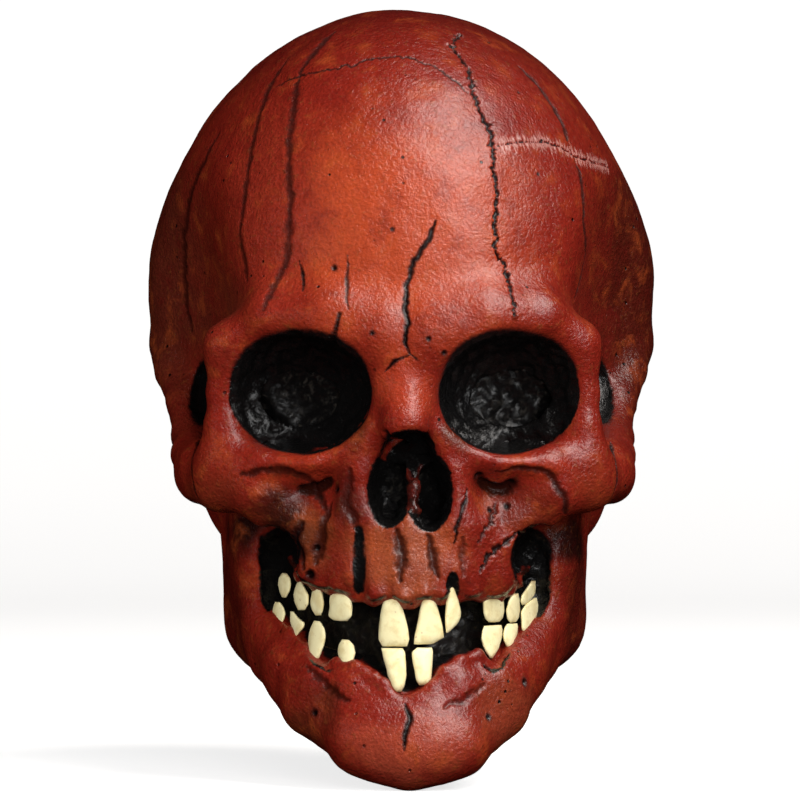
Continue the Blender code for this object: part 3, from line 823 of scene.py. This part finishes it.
def finishSkin(data):
    points = pointsOf(data)
    outer = outerPoints(points)
    value, slope = slopeOf(skullForm, points)
    normals = unit(slope)
    found, gap = nearestLine(points, 6)
    closed = shelter(points, normals)
    black = blackPaint(leaned(points), closed)
    height = sculpt(points, normals, outer, found, gap, black)
    colour, washAndShade = paintSkin(points, closed)
    row = allRows[found]
    across = gap / np.maximum(row[:, 3], 0.15)
    ink = row[:, 6] * (0.72 * np.exp(-((across / 1.05) ** 2)) + 0.36 * np.exp(-((across / 2.4) ** 2)))
    writeColour(data, "airbrushAndShade", colour)
    writeNumber(data, "washAndShade", washAndShade)
    writeNumber(data, "ink", np.where((gap < 6) & outer, ink, 0))
    writeNumber(data, "black", black)
    facing = (meshNormalsOf(data) * normals).sum(axis=1)
    inFront = points[:, 1] - mouth["arch"] * points[:, 0] ** 2 < mouth["back"] + 1
    painted = np.maximum(smoothStep(liningForm(skin["wall"])(points), 0.3, 1.0), inFront | (facing > 0.2))
    writeNumber(data, "painted", painted)
    movePoints(data, (points + normals * height[:, None]) * mm)
    data.shade_smooth()
    data.set_sharp_from_angle(angle=math.radians(75))
    item = addObject("latexSkullSkin", data)
    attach(item, "root")
    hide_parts("skull_skin")
    return item


print("3. modelling and painting the surface")
skinItem = finishSkin(skinData)


# The black screens behind the holes.

screens = {
    "eyeScreenLeft": ("eye_screen_left", (-41, -3), (20, 15), -40, 1.1),
    "eyeScreenRight": ("eye_screen_right", (41, -3), (20, 15), -40, 1.1),
    "noseScreen": ("nose_screen", (1, -34), (13, 16), -40, 0.8),
    "mouthLiner": ("mouth_liner", (0, -94), (42, 12), -40, 1.0),
}
screen = {"gap": 0.5, "wall": 1.6, "edge": 0.9, "lump": 5.4, "bulge": 2.3}


def screenMesh(centre, radii, inside, lumpHeight):
    # a patch behind the hole that follows the inside of the skin, lumpy where it shows
    across = int(2 * radii[0] / screen["edge"])
    up = int(2 * radii[1] / screen["edge"])
    patch = bmesh.new()
    bmesh.ops.create_grid(patch, x_segments=across, y_segments=up, size=1)
    data = meshFrom(patch, "screen")
    flat = pointsOf(data)
    x = flat[:, 0] * np.sqrt(1 - flat[:, 1] ** 2 / 2)
    z = flat[:, 1] * np.sqrt(1 - flat[:, 0] ** 2 / 2)
    start = np.full(len(x), float(inside))
    points = np.column_stack([centre[0] + x * radii[0], start, centre[1] + z * radii[1]])
    form = liningForm(skin["wall"] + screen["gap"])
    for _ in range(90):
        points[:, 1] -= np.clip(-form(points) * 0.6, -1, 6)
    shown = 1 - smoothStep(x**2 + z**2, 0.56, 0.92)
    bend = points + 1.6 * np.column_stack([lumpsAt(points, 7, seed) for seed in (1.3, 5.9, 9.2)])
    lumps = ropy(bend, screen["lump"], 2.2) + 0.35 * ropy(bend, 2.2, 4.4)
    points[:, 1] -= shown * (screen["bulge"] + lumpHeight * lumps)
    movePoints(data, points * mm)
    sheet = bmesh.new()
    sheet.from_mesh(data)
    back = bmesh.ops.extrude_face_region(sheet, geom=sheet.faces[:], use_keep_orig=True)
    moved = [piece for piece in back["geom"] if isinstance(piece, bmesh.types.BMVert)]
    bmesh.ops.translate(sheet, vec=(0, screen["wall"] * mm, 0), verts=moved)
    bmesh.ops.recalc_face_normals(sheet, faces=sheet.faces[:])
    return meshFrom(sheet, "screen")


print("4. making the black screens")
screenItems = []
for name, (node, centre, radii, inside, lumpHeight) in screens.items():
    data = screenMesh(centre, radii, inside, lumpHeight)
    data.shade_smooth()
    item = addObject(name, data)
    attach(item, "root")
    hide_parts(node)
    screenItems.append(item)


# The teeth.

# Each tooth's outline from top to bottom, as (z, left x, right x).
upperTeeth = [
    [(-70.5, -47.6, -45.5), (-72.6, -49.0, -44.2), (-75.4, -49.2, -44.1), (-77.7, -48.7, -44.6),
     (-79.9, -47.6, -46.0)],
    [(-72.7, -40.9, -40.2), (-75.5, -42.3, -38.6), (-78.6, -43.1, -37.1), (-81.8, -42.7, -37.1),
     (-84.5, -41.2, -38.4)],
    [(-75.2, -34.7, -32.8), (-77.5, -35.9, -31.6), (-81.5, -36.5, -31.1), (-84.2, -35.8, -31.4),
     (-86.2, -34.4, -32.2)],
    [(-77.4, -28.0, -22.0), (-79.2, -28.9, -20.4), (-82.7, -28.9, -20.1), (-86.2, -29.4, -20.3),
     (-87.9, -27.4, -22.2)],
    [(-77.6, -6.7, -4.5), (-79.9, -8.4, -1.8), (-84.5, -9.3, -0.3), (-90, -10.1, 1.0), (-94.6, -10.1, 1.7),
     (-97.4, -8.6, 0.8)],
    [(-77.7, 7.1, 9.4), (-79.9, 6.2, 11.4), (-84, 5.5, 12.9), (-89.2, 4.6, 14.2), (-93.9, 3.6, 15.0),
     (-96.6, 3.4, 10.6)],
    [(-72.4, 18.0, 18.6), (-76.3, 16.5, 19.6), (-80.2, 15.7, 20.5), (-85.6, 15.3, 21.7), (-88.7, 15.4, 20.4),
     (-92.2, 15.7, 16.5)],
    [(-78.6, 31.0, 36.9), (-80.7, 29.9, 38.1), (-84.6, 29.9, 38.3), (-87.3, 30.7, 37.7), (-88.8, 32.2, 36.4)],
    [(-78.2, 41.6, 44.0), (-81, 39.7, 44.4), (-84.9, 38.9, 44.5), (-87.7, 39.4, 44.1), (-89.2, 40.6, 43.0)],
    [(-73.6, 49.0, 50.7), (-76.2, 47.1, 50.9), (-78.9, 45.1, 50.5), (-81.3, 44.7, 48.6), (-82.8, 45.3, 46.8)],
]
lowerTeeth = [
    [(-81.8, -50.4, -48.6), (-83.8, -51.2, -46.9), (-86.1, -51.5, -46.2), (-88.1, -50.6, -46.7),
     (-90.6, -48.9, -47.5)],
    [(-85.2, -44.3, -43.0), (-87.7, -44.5, -41.0), (-89.3, -44.3, -38.4), (-91.3, -43.7, -39.0),
     (-93.2, -43.0, -40.7),
     (-94.9, -42.6, -42.0)],
    [(-88.4, -34.9, -32.6), (-91, -36.4, -30.8), (-94, -37.1, -30.3), (-97.2, -37.3, -30.9),
     (-101, -37.1, -32.3),
     (-103.9, -35.6, -33.5)],
    [(-95.1, -24.1, -21.3), (-97.1, -25.4, -19.6), (-100.2, -25.8, -18.9), (-103.7, -24.9, -19.9),
     (-107, -23.5, -22.1)],
    [(-97.9, -9.1, -0.9), (-99.8, -8.7, 0.0), (-103.4, -7.9, 0.4), (-107.9, -6.6, 0.5), (-111.8, -5.5, 0.1),
     (-114.7, -3.9, -1.4)],
    [(-97.7, 4.8, 10.2), (-99.3, 2.5, 10.6), (-102.6, 2.8, 10.6), (-106.4, 3.6, 10.4), (-110, 4.1, 10.0),
     (-112.2, 5.4, 8.2)],
    [(-90, 30.4, 37.2), (-91.8, 29.6, 37.6), (-94.9, 29.1, 37.4), (-98, 29.9, 36.5), (-100.4, 31.1, 35.3),
     (-102.6, 32.6, 33.8)],
    [(-89.7, 39.4, 43.4), (-91, 38.4, 43.7), (-93.7, 37.8, 43.5), (-96, 37.9, 42.6), (-98.9, 39.4, 41.3)],
    [(-80.3, 50.0, 51.3), (-83, 46.4, 51.9), (-85.3, 44.8, 51.8), (-89.2, 44.9, 50.6), (-91.7, 45.1, 48.7),
     (-93.6, 45.9, 47.1)],
]
toothForward = {"upper07": 1.6}   # the fang stands in front of the gum
toothShape = {"front": -108.2, "depth": 8.0, "cuts": 9, "squareness": 3.6, "crown": 1.5, "lumps": (3.4, 0.22)}


def toothMesh(outline, upper, seed, forward):
    # a block rounded off, drawn out to the tooth's outline and set on the dental arch
    block = bmesh.new()
    bmesh.ops.create_cube(block, size=2)
    bmesh.ops.subdivide_edges(block, edges=block.edges[:], cuts=toothShape["cuts"], use_grid_fill=True)
    data = meshFrom(block, "tooth")
    p = pointsOf(data)
    power = toothShape["squareness"]
    p /= ((np.abs(p) ** power).sum(axis=1) ** (1 / power))[:, None]
    rows = np.array(outline, float)[::-1]
    low, high = rows[0, 0], rows[-1, 0]
    z = (low + high) / 2 + p[:, 2] * (high - low) / 2
    left, right = (np.interp(z, rows[:, 0], rows[:, side]) for side in (1, 2))
    # the block's own corners already draw in at the top and bottom, so that is taken out of the outline there
    drawnIn = np.maximum((1 - np.abs(p[:, 2]) ** power) ** (1 / power), 0.34)
    x = (left + right) / 2 + p[:, 0] / drawnIn * (right - left) / 2
    bite = (high - z) / (high - low) if upper else (z - low) / (high - low)
    thick = toothShape["depth"] * (1 - 0.4 * bite)
    front = toothShape["front"] - forward + mouth["arch"] * x * x
    fat = 1 - toothShape["crown"] * 0.12 * (p[:, 0] / drawnIn) ** 2
    y = front + toothShape["depth"] / 2 + p[:, 1] * thick / 2 * np.where(p[:, 1] < 0, fat, 1)
    points = np.column_stack([x, y, z])
    size, height = toothShape["lumps"]
    points += unit(points - points.mean(axis=0)) * (height * lumpsAt(points, size, seed, 2))[:, None]
    gumEnd = 1 - bite
    writeNumber(data, "gumEnd", gumEnd)
    movePoints(data, points * mm)
    shaped = bmesh.new()
    shaped.from_mesh(data)
    bmesh.ops.recalc_face_normals(shaped, faces=shaped.faces[:])
    return meshFrom(shaped, "tooth")


print("5. shaping the teeth")
toothItems = []
for prefix, outlines in (("upper", upperTeeth), ("lower", lowerTeeth)):
    for number, outline in enumerate(outlines, 1):
        seed = number * 4.3 + (0 if prefix == "upper" else 50)
        data = toothMesh(outline, prefix == "upper", seed, toothForward.get(f"{prefix}{number:02d}", 0))
        data.shade_smooth()
        item = addObject(f"{prefix}Tooth{number:02d}", data)
        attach(item, "root")
        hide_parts(f"{prefix}_tooth_{number:02d}")
        toothItems.append(item)


# Materials.

def addNode(tree, kind, settings=None, output=0, **links):
    # a node with its settings, each input linked or given a value, and the output that is wanted
    node = tree.nodes.new("ShaderNode" + kind)
    for name, value in (settings or {}).items():
        setattr(node, name, value)
    for name, value in links.items():
        numbered = name[0] == "i" and name[1:].isdigit()
        socket = node.inputs[int(name[1:]) if numbered else name.replace("_", " ")]
        if isinstance(value, bpy.types.NodeSocket):
            tree.links.new(value, socket)
        else:
            socket.default_value = value
    return node.outputs[output]


def rgba(hexColour):
    return (*linearOf(hexColour), 1)


def newMaterial(name):
    material = bpy.data.materials.new(name)
    material.use_nodes = True
    tree = material.node_tree
    return material, tree, tree.nodes["Principled BSDF"], addNode(tree, "TexCoord", output="Object")


def addNoises(tree, place, noises):
    # name: size in millimetres, detail, roughness, warp
    return {
        name: addNode(tree, "TexNoise", Vector=place, Scale=1 / (size * mm), Detail=detail, Roughness=rough,
                      Distortion=warp)
        for name, (size, detail, rough, warp) in noises.items()
    }


def addLayers(tree, colour, drivers, layers):
    # each layer's colour comes in as its driver goes from low to high, up to its share
    for driver, low, high, share, tint, blend in layers:
        amount = addNode(tree, "MapRange", smooth, Value=drivers[driver], From_Min=low, From_Max=high,
                         To_Max=share)
        how = {"data_type": "RGBA", "blend_type": blend}
        colour = addNode(tree, "Mix", how, 2, i0=amount, i6=colour, i7=rgba(tint))
    return colour


smooth = {"interpolation_type": "SMOOTHSTEP"}
adding, taking, timing = ({"operation": kind} for kind in ("ADD", "SUBTRACT", "MULTIPLY"))

# Slush-cast latex, sprayed with red and orange rubber paint, washed with dark brown in the recesses, where
# the wash also paints in the shade, and sealed with a gloss latex coat: a pebbled, wet-looking skin with
# broken highlights.
paintedLatex = {
    "noises": {
        "mottle": (11.0, 4, 0.6, 0.4), "fleck": (2.4, 3, 0.6, 0.6), "grain": (1.25, 2, 0.5, 0),
        "sparse": (26, 1, 0.55, 0),
    },
    "pinhole": 6.5,       # millimetres between pinholes
    "ragged": {"washAndShade": 0.8, "ink": 0.5, "black": 0.5},   # how far the flecks break up each painted edge
    "layers": [
        ("mottle", 0.5, 0.78, 0.55, "96401c", "MIX"),
        ("mottle", 0.5, 0.26, 0.5, "560e0c", "MIX"),
        ("fleck", 0.56, 0.74, 0.4, "6c3a18", "MIX"),
        ("grain", 0.35, 0.7, 0.35, "ffffff", "SOFT_LIGHT"),
        # the dark wash in the recesses, also standing in as painted shade
        ("washAndShade", 0.22, 0.85, 0.93, "1a0a06", "MIX"),
        ("ink", 0.14, 0.6, 0.85, "2a0a06", "MIX"),
        ("ink", 0.58, 0.88, 0.97, "0c0404", "MIX"),
        ("ink", -0.2, -0.5, 0.6, "b08078", "MIX"),        # pale scratches
    ],
    "holeColour": "0c0404", "blackColour": "0a0909", "rawColour": "b59a72",
    "roughness": (0.27, 0.4), "stainDulls": 0.18, "blackRoughness": 0.34, "rawRoughness": 0.7,
}


def makePaintedLatex():
    m = paintedLatex
    material, tree, shader, place = newMaterial("glossPaintedLatex")
    noises = addNoises(tree, place, m["noises"])
    drivers = dict(noises)
    fleck = addNode(tree, "Math", taking, i0=noises["fleck"], i1=0.5)
    for name, ragged in m["ragged"].items():
        drawn = addNode(tree, "Attribute", {"attribute_name": name}, "Fac")
        edge = addNode(tree, "Math", timing, i0=fleck, i1=ragged)
        drivers[name] = addNode(tree, "Math", adding, i0=drawn, i1=edge)
    base = addNode(tree, "Attribute", {"attribute_name": "airbrushAndShade"}, "Color")
    red = addLayers(tree, base, drivers, m["layers"])
    cells = addNode(tree, "TexVoronoi", {"feature": "F1"}, "Distance", Vector=place,
                    Scale=1 / (m["pinhole"] * mm))
    hole = addNode(tree, "MapRange", smooth, Value=cells, From_Min=0.13, From_Max=0.07)
    sparse = addNode(tree, "MapRange", smooth, Value=noises["sparse"], From_Min=0.52, From_Max=0.6)
    hole = addNode(tree, "Math", timing, i0=hole, i1=sparse)
    colourMix, numberMix = {"data_type": "RGBA"}, {"data_type": "FLOAT"}
    red = addNode(tree, "Mix", colourMix, 2, i0=hole, i6=red, i7=rgba(m["holeColour"]))
    black = addNode(tree, "MapRange", smooth, Value=drivers["black"], From_Min=0.15, From_Max=0.75)
    red = addNode(tree, "Mix", colourMix, 2, i0=black, i6=red, i7=rgba(m["blackColour"]))
    painted = addNode(tree, "Attribute", {"attribute_name": "painted"}, "Fac")
    addedColour = addNode(tree, "Mix", colourMix, 2, i0=painted, i6=rgba(m["rawColour"]), i7=red)
    low, high = m["roughness"]
    glossy = addNode(tree, "MapRange", smooth, Value=noises["fleck"], From_Min=0.3, From_Max=0.7, To_Min=low,
                     To_Max=high)
    stained = addNode(tree, "MapRange", smooth, Value=drivers["ink"], From_Min=0.1, From_Max=0.5,
                      To_Max=m["stainDulls"])
    rough = addNode(tree, "Math", adding, i0=glossy, i1=stained)
    rough = addNode(tree, "Mix", numberMix, 0, i0=black, i2=rough, i3=m["blackRoughness"])
    rough = addNode(tree, "Mix", numberMix, 0, i0=painted, i2=m["rawRoughness"], i3=rough)
    pebble = addNode(tree, "Bump", Strength=0.9, Distance=0.5 * mm, Height=noises["grain"])
    soft = addNode(tree, "Bump", Strength=0.6, Distance=0.9 * mm, Height=noises["fleck"], Normal=pebble)
    pit = addNode(tree, "Bump", {"invert": True}, Strength=0.8, Distance=0.6 * mm, Height=hole, Normal=soft)
    for socket, value in (("Base Color", addedColour), ("Roughness", rough), ("Normal", pit)):
        tree.links.new(value, shader.inputs[socket])
    shader.inputs["Coat Weight"].default_value = 0.3
    shader.inputs["Coat Roughness"].default_value = 0.26
    shader.inputs["IOR"].default_value = 1.45
    return material


# Perforated black latex sheet with clear gloss over it: near black, its lumps with wet grey highlights, part
# of them painted.
blackLatex = {
    "noises": {"wrinkle": (2.6, 4, 0.6, 0.8), "grain": (0.9, 2, 0.55, 0)},
    "colour": "0b0a0a",
    # grey on the wrinkle tops: a painted highlight
    "layers": [("wrinkle", 0.52, 0.72, 0.6, "38342f", "MIX")],
}


def makeBlackLatex():
    m = blackLatex
    material, tree, shader, place = newMaterial("wetBlackLatex")
    noises = addNoises(tree, place, m["noises"])
    colour = addLayers(tree, rgba(m["colour"]), noises, m["layers"])
    rough = addNode(tree, "MapRange", smooth, Value=noises["grain"], From_Min=0.3, From_Max=0.7, To_Min=0.32,
                    To_Max=0.46)
    fine = addNode(tree, "Bump", Strength=0.5, Distance=0.25 * mm, Height=noises["grain"])
    bump = addNode(tree, "Bump", Strength=0.8, Distance=0.9 * mm, Height=noises["wrinkle"], Normal=fine)
    for socket, value in (("Base Color", colour), ("Roughness", rough), ("Normal", bump)):
        tree.links.new(value, shader.inputs[socket])
    shader.inputs["Coat Weight"].default_value = 0.3
    shader.inputs["Coat Roughness"].default_value = 0.26
    return material


# Cast resin teeth under ivory paint: pale cream, a little browner towards the gum, satin with brush marks.
castTeeth = {
    "noises": {"patch": (5.0, 4, 0.6, 0.3), "grain": (0.8, 2, 0.55, 0), "speck": (1.6, 1, 0.55, 0)},
    "ivory": "f6eab8",
    "layers": [
        ("patch", 0.42, 0.7, 0.8, "e0cc92", "MIX"),
        ("gumEnd", 0.8, 1.06, 0.55, "a8713c", "MIX"),
        ("speck", 0.7, 0.76, 0.35, "a8713c", "MIX"),
    ],
}


def makeCastTeeth():
    m = castTeeth
    material, tree, shader, place = newMaterial("ivoryPaintedResin")
    noises = addNoises(tree, place, m["noises"])
    patch = addNode(tree, "Math", taking, i0=noises["patch"], i1=0.5)
    patch = addNode(tree, "Math", timing, i0=patch, i1=0.5)
    gumEnd = addNode(tree, "Attribute", {"attribute_name": "gumEnd"}, "Fac")
    drivers = {**noises, "gumEnd": addNode(tree, "Math", adding, i0=gumEnd, i1=patch)}
    colour = addLayers(tree, rgba(m["ivory"]), drivers, m["layers"])
    rough = addNode(tree, "MapRange", smooth, Value=noises["grain"], From_Min=0.3, From_Max=0.7, To_Min=0.34,
                    To_Max=0.5)
    bump = addNode(tree, "Bump", Strength=0.4, Distance=0.3 * mm, Height=noises["patch"])
    fine = addNode(tree, "Bump", Strength=0.35, Distance=0.12 * mm, Height=noises["grain"], Normal=bump)
    for socket, value in (("Base Color", colour), ("Roughness", rough), ("Normal", fine)):
        tree.links.new(value, shader.inputs[socket])
    return material


print("6. mixing the materials")
skinItem.data.materials.append(makePaintedLatex())
blackMaterial = makeBlackLatex()
for item in screenItems:
    item.data.materials.append(blackMaterial)
toothMaterial = makeCastTeeth()
for item in toothItems:
    item.data.materials.append(toothMaterial)


# Floor, light and camera.

studio = {
    "floorColour": "f4f3f1",
    "camera": (-0.0019, -2.31, -0.0034),
    "lens": 260.5,
    "world": 0.03,
    "lamps": {   # place, size, watts, colour, whether it shows in the gloss
        "highSoftbox": ((0.78, -0.72, 1.38), 1.1, 34, "fff8f2", True),
        "rightSoftbox": ((1.25, -1.75, 0.85), 0.7, 14, "ffffff", True),
        "frontFill": ((0.35, -2.4, 0.25), 1.2, 48, "ffffff", False),
        "leftFill": ((-1.6, -1.2, 0.4), 1.0, 16, "ffffff", False),
    },
}


def makeFloor():
    # a pale sweep: floor in front and below, curving up behind
    low = cadBounds[0].z
    sweep = bmesh.new()
    bmesh.ops.create_grid(sweep, x_segments=2, y_segments=40, size=1)
    for vert in sweep.verts:
        run = (vert.co.y + 1) / 2
        vert.co.x *= 5
        bend = max(run - 0.55, 0) / 0.45
        vert.co.y = -3 + min(run, 0.55) / 0.55 * 5 + math.sin(min(bend, 0.5) * math.pi) * 1.2
        vert.co.z = low + (1 - math.cos(min(bend, 0.5) * math.pi)) * 1.2 + max(bend - 0.5, 0) * 6
    data = meshFrom(sweep, "studioSweep")
    data.shade_smooth()
    floor = addObject("studioSweep", data)
    material, tree, shader, place = newMaterial("paleSeamlessPaper")
    tone = addNoises(tree, place, {"tone": (400, 2, 0.55, 0)})["tone"]
    paper = {"i6": rgba(studio["floorColour"]), "i7": rgba("fbfaf9")}
    colour = addNode(tree, "Mix", {"data_type": "RGBA"}, 2, i0=tone, **paper)
    tree.links.new(colour, shader.inputs["Base Color"])
    shader.inputs["Roughness"].default_value = 0.9
    shader.inputs["Emission Color"].default_value = rgba("ffffff")
    shader.inputs["Emission Strength"].default_value = 0.72
    floor.data.materials.append(material)
    floor.visible_glossy = False    # the paper lights nothing but itself
    floor.visible_diffuse = False


def aimAt(item, target):
    item.rotation_euler = (Vector(target) - item.location).to_track_quat("-Z", "Y").to_euler()


def makeLamps():
    for name, (place, size, watts, tint, shows) in studio["lamps"].items():
        light = bpy.data.lights.new(name, "AREA")
        light.size, light.energy, light.color = size, watts, linearOf(tint)
        lamp = addObject(name, light)
        lamp.location = place
        lamp.visible_glossy = shows
        aimAt(lamp, (0, -0.05, -0.02))


def makeCamera():
    lens = bpy.data.cameras.new("camera")
    lens.lens, lens.sensor_width = studio["lens"], 36
    lens.clip_start, lens.clip_end = 0.05, 50
    camera = addObject("camera", lens)
    camera.location = studio["camera"]
    camera.rotation_euler = (math.pi / 2, 0, 0)
    bpy.context.scene.camera = camera


print("7. floor, light and camera")
makeFloor()
makeLamps()
makeCamera()
world = bpy.data.worlds.new("studioAir")
world.use_nodes = True
world.node_tree.nodes["Background"].inputs["Color"].default_value = rgba("ffffff")
world.node_tree.nodes["Background"].inputs["Strength"].default_value = studio["world"]
world.cycles_visibility.glossy = False
bpy.context.scene.world = world
bpy.context.scene.view_settings.view_transform = "Standard"
